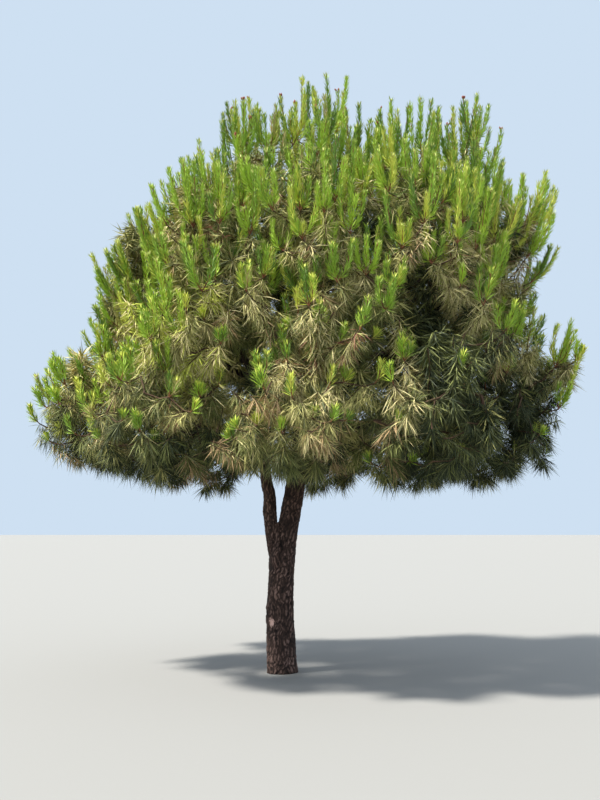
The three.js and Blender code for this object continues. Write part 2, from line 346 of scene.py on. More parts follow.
def bark_limb(points, radii_of, t, sides, seed, plate, fissure):
    """A limb with relief in its bark. radii_of(t, angle, points) gives the plain radius."""
    p = spline(points, t)
    a = np.arange(sides) * 2 * math.pi / sides
    angle, tt = np.meshgrid(a, t)
    length = np.concatenate([[0], np.cumsum(np.linalg.norm(np.diff(p, axis=0), axis=1))])
    height = np.repeat(length[:, None], sides, 1)
    plain = radii_of(tt, angle, p)
    relief, rise = bark(angle, height, 2 * math.pi * float(plain.mean()), seed, plate, fissure)
    share = np.clip(plain / 0.09, 0.2, 1)
    return p, angle, height, plain, relief * share, rise


def steps(points, start, end, spacing):
    """Values of t along a line from height start to height end, spacing metres apart."""
    t0, t1 = t_at_height(points, start), t_at_height(points, end)
    fine = np.linspace(t0, t1, 3001)
    length = np.concatenate([[0], np.cumsum(np.linalg.norm(np.diff(spline(points, fine), axis=0), axis=1))])
    n = max(int(round(length[-1] / spacing)), 2)
    return np.interp(np.linspace(0, length[-1], n + 1), length, fine)


def make_bark():
    trunk_points, trunk_radii = np.array(TRUNK[0]) / 1000, np.array(TRUNK[1]) / 1000
    # The trunk's wood runs on up into the fork, where it thins between the two stems.
    trunk_points = np.vstack([trunk_points[:-1], [[-0.003, 0, 1.28]], [[-0.018, 0, 1.545]]])
    trunk_radii = np.append(trunk_radii[:-1], [0.138, 0.138])

    def trunk_radius(t, angle, p):
        z = p[:, 2:3]
        flare = 0.09 * np.exp(-z / FLARE_HEIGHT)
        ribs = 1 + 0.45 * np.cos(3 * angle + 0.7) + 0.25 * np.cos(5 * angle - 0.4)
        into_fork = 1 - 0.42 * smooth(1.12, 1.50, z) - 0.45 * smooth(1.500, 1.545, z) ** 2
        # Slight swellings where old branches were shed, and the long hollows between.
        swell = np.zeros_like(angle + z)
        for at, turned, size, tall, wide in (
            (0.62, 3.6, 0.010, 0.10, 0.7), (1.30, 0.2, 0.013, 0.09, 0.6), (0.95, 5.1, 0.007, 0.07, 0.5),
            (0.30, 0.4, 0.009, 0.12, 0.6), (1.12, 2.7, 0.008, 0.08, 0.6), (0.78, 1.3, 0.009, 0.10, 0.6),
        ):
            off = np.angle(np.exp(1j * (angle - turned)))
            swell = swell + size * np.exp(-((z - at) / tall) ** 2 - (off / wide) ** 2)
        uneven = 0.0045 * np.sin(2 * angle + 3.1 * z + 0.6) + 0.0035 * np.sin(3 * angle - 4.3 * z)
        return along(trunk_radii, t) * (1 + flare * ribs) * into_fork + (swell + uneven) * np.clip(into_fork, 0, 1)

    parts = {}
    p, angle, height, plain, relief, rise = bark_limb(
        trunk_points, trunk_radius, steps(trunk_points, 0, 1.545, 0.0095), 112, 3.1, 0.031, 0.013)
    # A bare scar, where a low branch was taken off.
    off = np.angle(np.exp(1j * (angle - math.radians(228))))
    far = np.hypot(off * 0.14 / 0.026, (p[:, 2:3] - 0.515) / 0.040)
    far = far + 0.30 * np.sin(angle * 37 + 2 * height * 90) + 0.5 * (rise - 0.5)
    scar = 1 - smooth(0.75, 1.1, far)
    rim = np.exp(-((far - 1.25) / 0.22) ** 2)
    relief = relief * (1 - 0.85 * scar) + 0.004 * rim - 0.004 * scar
    rise = rise * (1 - scar) + 1.9 * scar
    # The seam between the two stems runs down from the fork, at the front and at the back.
    for turned in (4.62, 1.45):
        off = np.angle(np.exp(1j * (angle - turned - 0.25 * (p[:, 2:3] - 1.35))))
        seam = np.exp(-((off + 0.10 * np.sin(9 * height)) / 0.13) ** 2) * smooth(1.02, 1.36, p[:, 2:3])
        relief = relief - 0.016 * seam
        rise = rise * (1 - 0.9 * seam)
    for at, turned in ((1.30, 4.55), (1.02, 5.35), (0.70, 5.6), (0.42, 4.35), (1.18, 1.2), (0.55, 1.9)):
        # Small dark knots.
        off = np.angle(np.exp(1j * (angle - turned)))
        far = np.hypot(off * 0.14 / 0.016, (p[:, 2:3] - at) / 0.020)
        pit = np.exp(-far**2)
        relief = relief - 0.009 * pit + 0.006 * np.exp(-((far - 1.5) / 0.5) ** 2)
        rise = rise * (1 - pit)
    trunk = Mesh()
    tube(trunk, p, plain + relief, 112, rise)
    # The foot is a flat cut at ground level.
    trunk.verts[0][:112, 2] = 0
    trunk.verts[0][-2, 2] = 0
    parts["trunk_bark"] = (trunk, ["trunk"])
    for name, node, sides, seed, plate in (
        ("leader_left_bark", "leader_left", 60, 11.7, 0.027),
        ("leader_right_bark", "leader_right", 84, 23.9, 0.030),
        ("limb_right_bark", "limb_right", 20, 37.3, 0.030),
    ):
        limb = {"leader_left": "left_leader", "leader_right": "right_leader", "limb_right": "right_limb"}[node]
        points, radii = LIMBS[limb]

        def radius(t, angle, p, limb=limb, radii=radii):
            r = along(radii, t) + 0 * angle
            if limb == "left_leader":
                # The knee above the fork.
                off = np.angle(np.exp(1j * (angle - 3.3)))
                r = r + 0.013 * np.exp(-((p[:, 2:3] - 1.66) / 0.07) ** 2 - (off / 0.8) ** 2)
            return r + 0.035 * r * np.sin(2 * angle + 5 * p[:, 2:3]) + 0.025 * r * np.sin(3 * angle - 7 * p[:, 2:3] + 1)

        mesh = Mesh()
        if node == "limb_right":
            p, angle, height, plain, relief, rise = bark_limb(
                points, radius, steps(points, points[0][2], points[-1][2], 0.032), sides, seed, plate, 0.009)
            tube(mesh, p, plain + relief, sides, rise)
        else:
            # Finely made where it shows, and coarser inside the crown.
            for lowest, highest, spacing, n in ((points[0][2], 2.42, 0.0098, sides), (2.41, points[-1][2], 0.050, 16)):
                p, angle, height, plain, relief, rise = bark_limb(
                    points, radius, steps(points, lowest, highest, spacing), n, seed, plate, 0.010)
                tube(mesh, p, plain + relief, n, rise)
        parts[name] = (mesh, [node])
    return parts


# ---- The crown's outline ------------------------------------------------------------------------------------------

def mass_reach(m, d):
    """How far mass m reaches in the directions d, and whether that is its own outside, not where it meets another."""
    a, b, c = HALVES[m]
    s = 1.7 * m + 0.3
    x, y, z = d[:, 0], d[:, 1], d[:, 2]
    r = 1 / np.sqrt((x / a) ** 2 + (y / b) ** 2 + (z / c) ** 2)
    lumps = (0.08 * np.sin(4.4 * x + 2.3 * s) * np.cos(4.0 * y - s) + 0.065 * np.sin(6.1 * y + 1.9 * s + 3 * z)
             + 0.06 * np.cos(6.8 * x - 5.2 * z + s) + np.where(z > 0.25, 0.06 * np.sin(9 * x + s) * np.sin(9 * y - s), 0))
    r = r * (0.97 + lumps)
    r = np.where(z < 0, r * (1 - 0.08 * z * z), r)
    outside = np.ones(len(d), bool)
    for n in range(len(MASSES)):
        if n == m:
            continue
        away = CENTRES[n] - CENTRES[m]
        dist = np.linalg.norm(away)
        to_plane = (dist**2 + MASS_SIZES[m] ** 2 - MASS_SIZES[n] ** 2) / (2 * dist) - MASS_GAP / 2
        slope = d @ away / dist
        limit = np.where(slope > 1e-4, to_plane / np.maximum(slope, 1e-4), np.inf)
        outside &= limit > r
        r = np.minimum(r, limit)
    return r, outside


def in_crown(points, grow=1.04):
    points = np.atleast_2d(points)
    inside = np.zeros(len(points), bool)
    for m in range(len(MASSES)):
        v = points - CENTRES[m]
        dist = np.linalg.norm(v, axis=1)
        near = dist < HALVES[m].max() * 1.3 * grow
        if near.any():
            r, _ = mass_reach(m, unit(v[near]))
            inside[near] |= dist[near] <= r * grow + 0.015
    return inside


def even_directions(n, turn):
    i = np.arange(n) + 0.5
    z = 1 - 2 * i / n
    a = i * math.pi * (1 + 5**0.5) + turn
    s = np.sqrt(1 - z * z)
    return np.stack([s * np.cos(a), s * np.sin(a), z], 1)


def height_share(z):
    return np.clip((np.asarray(z) - CROWN_FOOT) / (CROWN_TOP - CROWN_FOOT), 0, 1)


def outer_points():
    """Points over the crown's outside, with the direction out of it."""
    points, normals = [], []
    for m in range(len(MASSES)):
        d = even_directions(900, 2.4 * m)
        d = unit(d + rng.normal(0, 0.03, d.shape))
        r, outside = mass_reach(m, d)
        p = CENTRES[m] + d * r[:, None]
        out = unit((p - CROWN_MIDDLE) / CROWN_HALF**2)
        keep = outside & ((d * out).sum(1) > 0.05)
        # Masses differ in size, so a direction on a small one stands for less of the crown.
        keep &= rng.random(len(d)) < (MASS_SIZES[m] / 0.8) ** 2
        points.append(p[keep])
        normals.append(unit(0.6 * d[keep] + 0.4 * out[keep]))
    return np.concatenate(points), np.concatenate(normals)


# ---- Whorls: the nodes where a year's shoots leave a twig -----------------------------------------------------------

def shoot_length(h):
    return 0.19 + 0.57 * h**1.15


def region(p):
    """How sunny, how shaded and how bare of new shoots the crown is at p, each from 0 to 1."""
    x, y, z = (float(c) for c in p)
    # The left shoulder stands free in the sun, and so does the tip at the right; the low right is in the shade. Besides
    # how the shoots grow, these steer the colours dealt out: lighter in the sun as painted light, darker in the shade
    # as painted shade.
    sunny = smooth(-0.5, -1.1, x) * smooth(2.5, 2.9, z) * smooth(5.0, 4.5, z)
    shaded = smooth(1.0, 1.45, x) * smooth(3.40, 2.95, z) * (1 - smooth(2.75, 2.95, x) * smooth(2.85, 3.0, z))
    front = smooth(0.2, -0.3, y)
    bare = front * (0.55 * math.exp(-((x + 0.95) / 0.45) ** 2 - ((z - 4.05) / 0.40) ** 2)
                    + 0.55 * math.exp(-((x - 0.05) / 0.40) ** 2 - ((z - 4.90) / 0.28) ** 2)
                    + 0.60 * math.exp(-((x + 0.55) / 0.40) ** 2 - ((z - 3.35) / 0.30) ** 2))
    if right_tip(x, z):
        sunny = 1.0
    return float(sunny), float(shaded), float(min(bare, 1))


def near_gap(p):
    return any((((p - middle) / (half + 0.28)) ** 2).sum() < 1 for middle, half in HOLLOWS)


def right_tip(x, z):
    return x > 2.75 and 2.6 < z < 3.9


def arching(x, z):
    """Down both shoulders of the crown, the right one most, the shoots lean far out before they turn up."""
    return smooth(2.0, 2.5, x) * smooth(3.7, 4.0, z) + 0.7 * smooth(-1.0, -1.5, x) * smooth(3.6, 4.0, z)


def nearest(points, others):
    """The distance from each point to the nearest of the others."""
    out = np.empty(len(points))
    for i in range(0, len(points), 400):
        v = points[i:i + 400, None, :] - others[None, :, :]
        out[i:i + 400] = np.sqrt((v * v).sum(2).min(1))
    return out


def inner_points(surface):
    """Points inside the crown, behind its outside and below its shoots, where twigs carry old and dead needles.
    With each comes its distance from the outside."""
    low, high = (CENTRES - HALVES).min(0), (CENTRES + HALVES).max(0)
    points = low + (high - low) * rng.random((30000, 3))

    def inside(p):
        core = (((p - CROWN_MIDDLE) / (0.76 * CROWN_HALF)) ** 2).sum(1) < 1
        return core | in_crown(p, 1.0)

    points = points[inside(points)]
    tall = shoot_length(height_share(points[:, 2]))[:, None] * [0, 0, 1]
    points = points[inside(points + tall * 0.85)]
    depth = nearest(points, surface[::3])
    keep = depth > 0.17
    return points[keep], depth[keep]


def place_whorls():
    """Each whorl has a place, the way out of the crown there, its shoots' length and its layer."""
    surface, normal = outer_points()
    order = rng.permutation(len(surface))
    surface, normal = surface[order], normal[order]
    h = height_share(surface[:, 2])
    length = shoot_length(h) * rng.uniform(0.78, 1.2, len(h))
    level = normal * [1, 1, 0]
    under = normal[:, 2] < -0.30
    zones = np.array([region(p) for p in surface])
    left_top = smooth(-0.4, -0.9, surface[:, 0]) * smooth(3.6, 4.2, surface[:, 2])
    length *= 1 + 0.32 * np.maximum(zones[:, 0], left_top) + 0.22 * smooth(2.2, 2.6, surface[:, 0]) * smooth(4.6, 5.0, surface[:, 2])
    tipped = (surface[:, 0] > 2.72) & (surface[:, 2] > 2.9) & (surface[:, 2] < 3.95)
    length[tipped] = rng.uniform(0.46, 0.66, tipped.sum())
    length[under] *= 0.45
    inset = rng.uniform(0.06, 0.20, len(h)) + 0.04 * h
    inset += 0.22 * arching(surface[:, 0], surface[:, 2])
    place = surface - level * inset[:, None]
    place[:, 2] -= np.where(under, -0.05, (0.92 + 0.10 * left_top) * length)
    kept = []
    places = np.zeros((0, 3))

    def far_enough(p, spacing):
        if not len(places):
            return True
        v = (places - p) * [1, 1, 0.72]
        return (v * v).sum(1).min() > spacing * spacing

    hollow = np.zeros(len(place), bool)
    for middle, half in HOLLOWS:
        hollow |= (((place - middle) / half) ** 2).sum(1) < 1
    for k in range(len(place)):
        if place[k, 2] < CROWN_FOOT + 0.03 or hollow[k] or (place[k, 0] > 2.90 and place[k, 2] < 3.0):
            continue
        if far_enough(place[k], SPACING * (1.0 + 0.26 * smooth(0.35, 0.80, h[k]) - 0.12 * zones[k, 0])):
            places = np.vstack([places, place[k]])
            kept.append((place[k], normal[k], length[k], 1 if under[k] else 0))
    outer = len(kept)
    # Long shoots stand on the strongest whorls only, wide apart at the top of the crown.
    grown = []
    for k, (p, n, size, layer) in enumerate(kept):
        share = float(height_share(p[2]))
        x, y, z = p
        sunny, shaded, bare = region(p)
        apart = 0.235 + 0.030 * smooth(0.38, 0.66, share)
        apart *= 1 + 0.6 * bare + 0.22 * smooth(-0.7, -1.1, x) * smooth(3.9, 4.3, z) + 0.28 * smooth(1.1, 1.5, x) * smooth(3.2, 3.4, z) * smooth(4.4, 4.1, z) * smooth(2.6, 2.4, x)
        if layer == 0 and (not grown or min(np.linalg.norm(p - q) for q in grown) > apart):
            grown.append(p)
            kept[k] = (p, n, size, 4)
    print("whorls with long shoots", len(grown))
    for p, depth in zip(*inner_points(surface)):
        round_fork = math.hypot(p[0] - 0.05, p[1]) < 0.55
        if p[2] < CROWN_FOOT + (0.55 if round_fork else 0.15):
            continue
        if far_enough(p, SPACING_INNER):
            places = np.vstack([places, p])
            kept.append((p, unit((p - CROWN_MIDDLE) / CROWN_HALF**2 + [0, 0, 0.05]), 0.14, 2 if depth > 0.38 else 3))
    # A dense body of old needles hangs below the tip at the right, dark in colour as painted shade; the last ones stand
    # between the low masses.
    for x, y, z in ((2.64, -0.42, 2.98), (2.58, -0.30, 2.72), (2.66, -0.10, 2.86), (2.50, -0.55, 2.60), (2.62, 0.10, 2.66),
                    (2.44, -0.20, 2.48), (2.80, -0.30, 3.10), (2.72, -0.22, 2.76), (2.14, 0.10, 2.92), (2.24, 0.30, 2.36),
                    (2.20, -0.45, 2.34), (2.16, -0.30, 2.66), (2.33, -0.10, 2.96), (2.36, 0.15, 2.66), (2.40, 0.05, 2.40),
                    (2.02, 0.42, 2.52), (1.80, 0.36, 2.34), (-0.28, 1.05, 2.62), (-0.30, 0.72, 2.50), (-0.26, 1.25, 2.92),
                    (-0.32, 0.95, 3.12)):
        kept.append((np.array([x, y, z]) + rng.normal(0, 0.02, 3), np.array([0.95, 0.0, 0.3]), 0.14, 3))
    kept += close_gaps(kept)
    print("whorls", outer, "outer,", len(kept) - outer, "inner,", sum(w[3] == 3 for w in kept), "of them near the outside")
    return kept


GRID = 0.10


def close_gaps(whorls):
    """More inner whorls, wherever a line of sight through the depth of the crown would meet too few needles."""
    low = (CENTRES - HALVES).min(0) - 0.2
    shape = np.ceil(((CENTRES + HALVES).max(0) + 0.2 - low) / GRID).astype(int)
    index = np.indices(shape).reshape(3, -1).T
    middles = low + (index + 0.5) * GRID
    full = in_crown(middles).reshape(shape)
    deep, level = full.copy(), full.astype(int)
    for _ in range(12):
        d = deep.copy()
        for axis in range(3):
            for way in (1, -1):
                d &= np.roll(deep, way, axis)
        deep = d
        level += deep
    tall = middles + shoot_length(height_share(middles[:, 2]))[:, None] * [0, 0, 0.85]
    up = ((tall - low) / GRID).astype(int)
    up = np.minimum(up, shape - 1)
    low_enough = middles[:, 2].reshape(shape) < 4.9
    shady = (middles[:, 2].reshape(shape) < 3.3) & (middles[:, 0].reshape(shape) > 1.2)
    free = (level > np.where(shady, 2, 4)) & low_enough & full[up[:, 0], up[:, 1], up[:, 2]].reshape(shape) & (middles[:, 2].reshape(shape) > CROWN_FOOT + 0.25)
    cover = np.zeros(shape)

    def fill(p, radius, strength):
        a = np.maximum(((p - radius - low) / GRID).astype(int), 0)
        b = np.minimum(((p + radius - low) / GRID).astype(int) + 1, shape)
        if (a >= b).any():
            return
        g = np.indices(b - a).reshape(3, -1).T + a
        near = ((low + (g + 0.5) * GRID - p) ** 2).sum(1) < radius**2
        g = g[near]
        cover[g[:, 0], g[:, 1], g[:, 2]] += strength / (2 * radius)

    for place, normal, length, layer in whorls:
        if layer in (2, 3):
            fill(place, 0.21, 0.75)
            continue
        fill(place - [0, 0, 0.06], 0.18, 0.8)
        for share in np.arange(0.3, 1.0, 0.2 / max(length, 0.2)):
            if layer == 4 and place[2] > 4.0:
                fill(place + [0, 0, share * length], 0.13, 0.7)
    extra = []
    distance = np.arange(5.2, 12.4, 0.5 * GRID)
    for turn in np.radians(np.arange(-90, 270, 45)):
        eye = np.array([0.2 + 8.7 * math.cos(turn), 8.7 * math.sin(turn), 1.5])
        ahead = unit(np.array([0.2, 0, 1.5]) - eye)
        aside = np.array([-ahead[1], ahead[0], 0])
        u, v = np.meshgrid(np.arange(-0.36, 0.365, 0.0125), np.arange(0.05, 0.60, 0.0125))
        rays = ahead + aside * u.ravel()[:, None] + np.array([0, 0, 1.0]) * v.ravel()[:, None]
        rays = unit(rays)
        points = eye + rays[:, None, :] * distance[None, :, None]
        cell = ((points - low) / GRID).astype(int)
        valid = ((points >= low) & (cell < shape)).all(2)
        cell = np.clip(cell, 0, shape - 1)
        cell = cell[..., 0], cell[..., 1], cell[..., 2]
        solid = (full[cell] & valid).sum(1) * 0.5 * GRID
        open_ = free[cell] & valid
        dense = (shady[cell] & open_).any(1)
        need = np.minimum(np.where(dense, 3.9, 2.85), np.where(dense, 3.2, 2.3) * solid)
        for _ in range(4):
            met = (cover[cell] * valid).sum(1) * 0.5 * GRID
            poor = np.where((met < need) & (solid > 0.8) & open_.any(1))[0]
            made = []
            for r in poor[np.argsort(met[poor])]:
                if any(np.linalg.norm(np.cross(p - eye, rays[r])) < 0.26 for p, _ in made):
                    continue
                spots = np.where(open_[r])[0]
                # As deep in the crown as the line of sight runs.
                best = spots[np.argmax(level[tuple(c[r][spots] for c in cell)] + rng.random(len(spots)))]
                p = points[r, best]
                made.append((p, 2 if level[tuple(c[r][best] for c in cell)] > 4 else 3))
                fill(p, 0.21, 0.75)
            extra += made
            if not made:
                break
    return [(p, unit((p - CROWN_MIDDLE) / CROWN_HALF**2 + [0, 0, 0.05]), 0.14, layer) for p, layer in extra]


# ---- Twigs: every whorl is joined to the nearest limb or twig ---------------------------------------------------------

def bough_line(m, t):
    name, centre, _, limb, start = MASSES[m]
    points, _ = LIMBS[limb]
    root = spline(points, t_at_height(points, start / 1000))[0]
    end = np.array(centre) / 1000
    out = end - root
    level = out * [1, 1, 0]
    up = np.array([0, 0, out[2]])
    return bezier(root, root + level * 0.38 + up * 0.22, end - level * 0.28 - up * 0.3, end, t)


def grow_twigs(whorls, mesh, bough_mesh):
    """Joins the whorls to the limbs, nearest first, then makes each branch as thick as what it carries needs."""
    nodes, parent, limit, flow, run = [], [], [], [], []

    def add(p, up, cap):
        run.append(0.0 if up < 0 else run[up] + float(np.linalg.norm(p - nodes[up])))
        nodes.append(p)
        parent.append(up)
        limit.append(cap)
        flow.append(0.0)
        return len(nodes) - 1

    boughs = []
    for limb, lowest in (("left_leader", 2.5), ("right_leader", 2.5), ("right_limb", 2.6)):
        points, radii = LIMBS[limb]
        t = np.arange(t_at_height(points, lowest), 1.0, 0.03)
        for p, r in zip(spline(points, t), along(radii, t)):
            add(p, -1, r * 0.55)
    for m, (name, centre, _, limb, start) in enumerate(MASSES):
        if limb is None:
            continue
        t = np.linspace(0, 1, 15)
        line = bough_line(m, t)
        root = BOUGH_ROOT[name.split("_")[0]]
        radii = root * (1 - (1 - BOUGH_TIP) * t)
        for p, r in zip(line[5:], radii[5:]):
            add(p, -1, r * 0.8)
        # Past the middle of its mass the bough runs on upwards and out, and thins to a twig.
        end = line[-1]
        on = unit(line[-1] - line[-2]) * 0.5 + unit(end - CROWN_MIDDLE) * 0.25 + np.array([0, 0, 0.45])
        s = np.linspace(0, 1, 6)[1:]
        tail = end + unit(on) * (0.30 * s)[:, None] + np.array([0, 0, 0.06]) * (s**2)[:, None]
        for p, r in zip(tail, radii[-1] * (1 - 0.65 * s)):
            add(p, -1, r * 0.8)
        boughs.append((m, np.vstack([line, tail]), np.concatenate([radii, radii[-1] * (1 - 0.65 * s)])))

    W = np.array([w[0] for w in whorls])
    N = np.array([w[1] for w in whorls])
    left = np.ones(len(W), bool)
    best = np.full(len(W), np.inf)
    source = np.zeros(len(W), int)

    def cost(targets, i):
        v = targets - nodes[i]
        dist = np.linalg.norm(v, axis=1)
        # A twig rather runs outwards and upwards than back, and rather leaves its branch deep inside.
        return dist * (1.25 - 0.25 * v[:, 2] / np.maximum(dist, 1e-6)) + 0.45 * run[i]

    for i in range(len(nodes)):
        c = cost(W, i)
        better = c < best
        best[better], source[better] = c[better], i
    branches = []
    while left.any():
        k = int(np.argmin(np.where(left, best, np.inf)))
        left[k] = False
        q, at = nodes[source[k]], source[k]
        span = np.linalg.norm(W[k] - q)
        arrive = unit(0.55 * N[k] * [1, 1, 0.3] + np.array([0, 0, 0.85]))
        n = max(int(span / 0.12), 2)
        t = np.linspace(0, 1, n + 1)
        wobble = rng.normal(0, 0.05 * span, 3)
        line = bezier(q, q + (W[k] - q) * 0.35 + wobble - [0, 0, 0.06 * span], W[k] - arrive * 0.33 * span, W[k], t)
        ids = [at]
        new = []
        for p in line[1:]:
            ids.append(add(p, ids[-1], 1.0))
            new.append(len(nodes) - 1)
        branches.append((ids, arrive, k))
        flow[ids[-1]] += 1
        for i in new[:-1] + new[-1:]:
            c = cost(W, i)
            better = left & (c < best)
            best[better], source[better] = c[better], i
    # Each branch's own tip counts one; a node carries all that hangs on it.
    for i in range(len(nodes) - 1, -1, -1):
        if parent[i] >= 0:
            flow[parent[i]] += flow[i]
    directions = np.zeros((len(W), 3))
    P = np.array(nodes)
    for ids, arrive, k in branches:
        directions[k] = unit(P[ids[-1]] - P[ids[-2]])
        f = np.array([flow[i] for i in ids[1:]])
        f = np.concatenate([[f[0]], f])
        r = TWIG_TIP * f**0.42
        r[0] = min(r[0], limit[ids[0]])
        r = np.minimum.accumulate(r)
        tube(mesh, P[ids], r, 6 if r[0] > 0.012 else 4, cap=False)
    for m, line, radii in boughs:
        t = np.linspace(0, 1, 26)
        p = spline(line, t)
        rr = along(radii, t)
        sides = 9
        a = np.arange(sides) * 2 * math.pi / sides
        angle, _ = np.meshgrid(a, t)
        length = np.concatenate([[0], np.cumsum(np.linalg.norm(np.diff(p, axis=0), axis=1))])
        relief, depth = bark(angle, np.repeat(length[:, None], sides, 1), 2 * math.pi * rr.mean(), 5.0 * m, 0.030, 0.006)
        tube(bough_mesh, p, rr[:, None] + relief * (rr / 0.05)[:, None], sides, depth)
    return directions


# ---- Needles ------------------------------------------------------------------------------------------------------

class Needles:
    """Thin blades of two faces: a narrow foot, widest at two fifths, and a fine tip, bent by the tip's sag."""

    def __init__(self):
        self.parts = {name: [] for name in NEEDLE_COLOURS}

    def add(self, kinds, base, direction, length, width, sag, across):
        """kinds is the colour's name for each needle, as numbers into KINDS."""
        side = unit(across - direction * (across * direction).sum(1, keepdims=True))
        half = side * (width / 2)[:, None]
        way = direction * length[:, None]
        mid = base + way * 0.42 + sag * 0.18
        v = np.stack([base, mid - half, mid + half, base + way + sag], 1)
        for k in np.unique(kinds):
            self.parts[KINDS[k]].append(v[kinds == k].astype(np.float32))

    def count(self):
        return {k: sum(len(x) for x in v) for k, v in self.parts.items()}

    def build(self, limit=96000):
        made = []
        for name, parts in self.parts.items():
            if not parts:
                continue
            v = np.concatenate(parts)
            pieces = max(1, math.ceil(len(v) / limit))
            for i, chunk in enumerate(np.array_split(v, pieces)):
                mesh = Mesh()
                first = np.arange(len(chunk))[:, None] * 4
                faces = np.concatenate([first + [0, 2, 1], first + [1, 2, 3]])
                mesh.add(chunk.reshape(-1, 3), faces)
                label = "needles_" + name + ("" if pieces == 1 else "_" + str(i + 1))
                made.append(mesh.build(label, needle_material(name), False))
        return made


KINDS = list(NEEDLE_COLOURS)
K = {name: i for i, name in enumerate(KINDS)}


def needle_material(name):
    m = bpy.data.materials.get("needle_" + name)
    if m:
        return m
    m = bpy.data.materials.new("needle_" + name)
    m.use_nodes = True
    b = m.node_tree.nodes["Principled BSDF"]
    b.inputs["Base Color"].default_value = colour(*NEEDLE_COLOURS[name])
    b.inputs["Roughness"].default_value = 0.55 if name.startswith("new") else 0.65
    b.inputs["Specular IOR Level"].default_value = 0.22
    return m


def across_axes(axis):
    """Two unit directions across each of the given ones."""
    ref = np.where(np.abs(axis[:, 2:3]) > 0.9, [[1.0, 0, 0]], [[0, 0, 1.0]])
    e1 = unit(np.cross(axis, ref))
    return e1, np.cross(axis, e1)


def add_shoot(needles, stems, start, first, last, length, main, second, per_metre, brush, bend):
    """One year's shoot: it leaves along first, bends to last, bare at its foot and closely set with needles above.
    brush is 0 for a long even candle and 1 for a short shoot of long needles that open upwards."""
    p1 = start + first * length * bend
    p2 = p1 + last * length * (1 - bend)
    n = max(int(per_metre * length), int(36 + 20 * brush))
    t = 0.12 + 0.88 * np.sort(rng.random(n) ** 0.88)
    tt = t[:, None]
    base = (1 - tt) ** 2 * start + 2 * tt * (1 - tt) * p1 + tt**2 * p2
    axis = unit((1 - tt) * (p1 - start) + tt * (p2 - p1))
    e1, e2 = across_axes(axis)
    turn = np.arange(n) * 2.399 + rng.normal(0, 0.35, n)
    radial = e1 * np.cos(turn)[:, None] + e2 * np.sin(turn)[:, None]
    # Needles stand out more at the foot of a shoot and close up above; the topmost are short, so that it ends bluntly.
    lean = np.radians(29 + 6 * brush + 25 * (1 - 0.5 * brush) * smooth(0.34, 0.12, t) + 5 * (1 - brush) * smooth(0.80, 1.0, t)
                      + rng.normal(0, 4, n))
    direction = unit(axis * np.cos(lean)[:, None] + radial * np.sin(lean)[:, None])
    size = (0.093 + 0.023 * brush - (0.015 + 0.007 * brush) * smooth(0.25, 0.95, t)) * rng.uniform(0.88, 1.12, n)
    below = (1 - t) * length
    size = np.minimum(size, (0.043 + 0.023 * brush) * rng.uniform(0.85, 1.15, n) + below)
    width = (0.0109 - 0.0014 * brush) * rng.uniform(0.85, 1.15, n)
    sag = -radial * (size * 0.06)[:, None]
    across = np.cross(axis, radial) + rng.normal(0, 0.25, (n, 3))
    kinds = np.where(rng.random(n) < 0.72, main, second)
    kinds = np.where((below < 0.028) & (rng.random(n) < 0.7), K["new_tip" if brush < 0.3 else "new_yellow"], kinds)
    needles.add(kinds, base + radial * 0.004, direction, size, width, sag, across)
    q = np.array([0, 0.38, 1])[:, None]
    line = (1 - q) ** 2 * start + 2 * q * (1 - q) * p1 + q**2 * p2
    tube(stems, line, np.array([0.0060, 0.0052, 0.0040]), 3, cap=False)
    return p2


def add_skirt(needles, place, axis, count, kinds_of, spread, reach_out, hang, width=NEEDLE_WIDTH_OLD, along_twig=0.19,
              stems=None):
    """The older needles below a whorl, set along the twig's last stretch: they spread out and droop. With stems given,
    two side twigs leave that stretch at its foot and carry their share of them."""
    n = count
    s = rng.random(n) ** 1.1
    foot = place - axis * along_twig
    ends = [place]
    if stems is not None:
        e1, e2 = across_axes(axis[None, :])
        turn = rng.random() * 2 * math.pi
        for k in range(2):
            a = turn + k * math.pi + rng.normal(0, 0.5)
            aside = (e1[0] * math.cos(a) + e2[0] * math.sin(a)) * rng.uniform(0.05, 0.11)
            end = place + aside - axis * rng.uniform(0.02, 0.08)
            ends.append(end)
            tube(stems, np.stack([foot, (foot + end) / 2 + aside * 0.15, end]), [0.0062, 0.0056, 0.0045], 3, cap=False)
    ends = np.array(ends)[rng.integers(0, len(ends), n)]
    base = ends - (ends - foot) * s[:, None]
    ax = unit(ends - foot)
    e1, e2 = across_axes(ax)
    turn = rng.random(n) * 2 * math.pi
    radial = e1 * np.cos(turn)[:, None] + e2 * np.sin(turn)[:, None]
    polar = np.radians(np.clip(rng.normal(spread + 16 * s, 24, n), 25, 165))
    direction = ax * np.cos(polar)[:, None] + radial * np.sin(polar)[:, None]
    droop = hang * rng.uniform(0.5, 1.5, n) * (0.7 + 0.7 * s)
    direction = unit(direction - droop[:, None] * [0, 0, 1] + rng.normal(0, 0.22, (n, 3)))
    size = rng.uniform(0.110, 0.20, n) * reach_out
    width = width * rng.uniform(0.8, 1.25, n)
    sag = np.zeros((n, 3))
    sag[:, 2] = -size * rng.uniform(0.10, 0.32, n) * (1 - np.abs(direction[:, 2]))
    across = np.cross(direction, radial + [0, 0, 0.3]) + rng.normal(0, 0.45, (n, 3))
    needles.add(kinds_of(s), base, direction, size, width, sag, across)


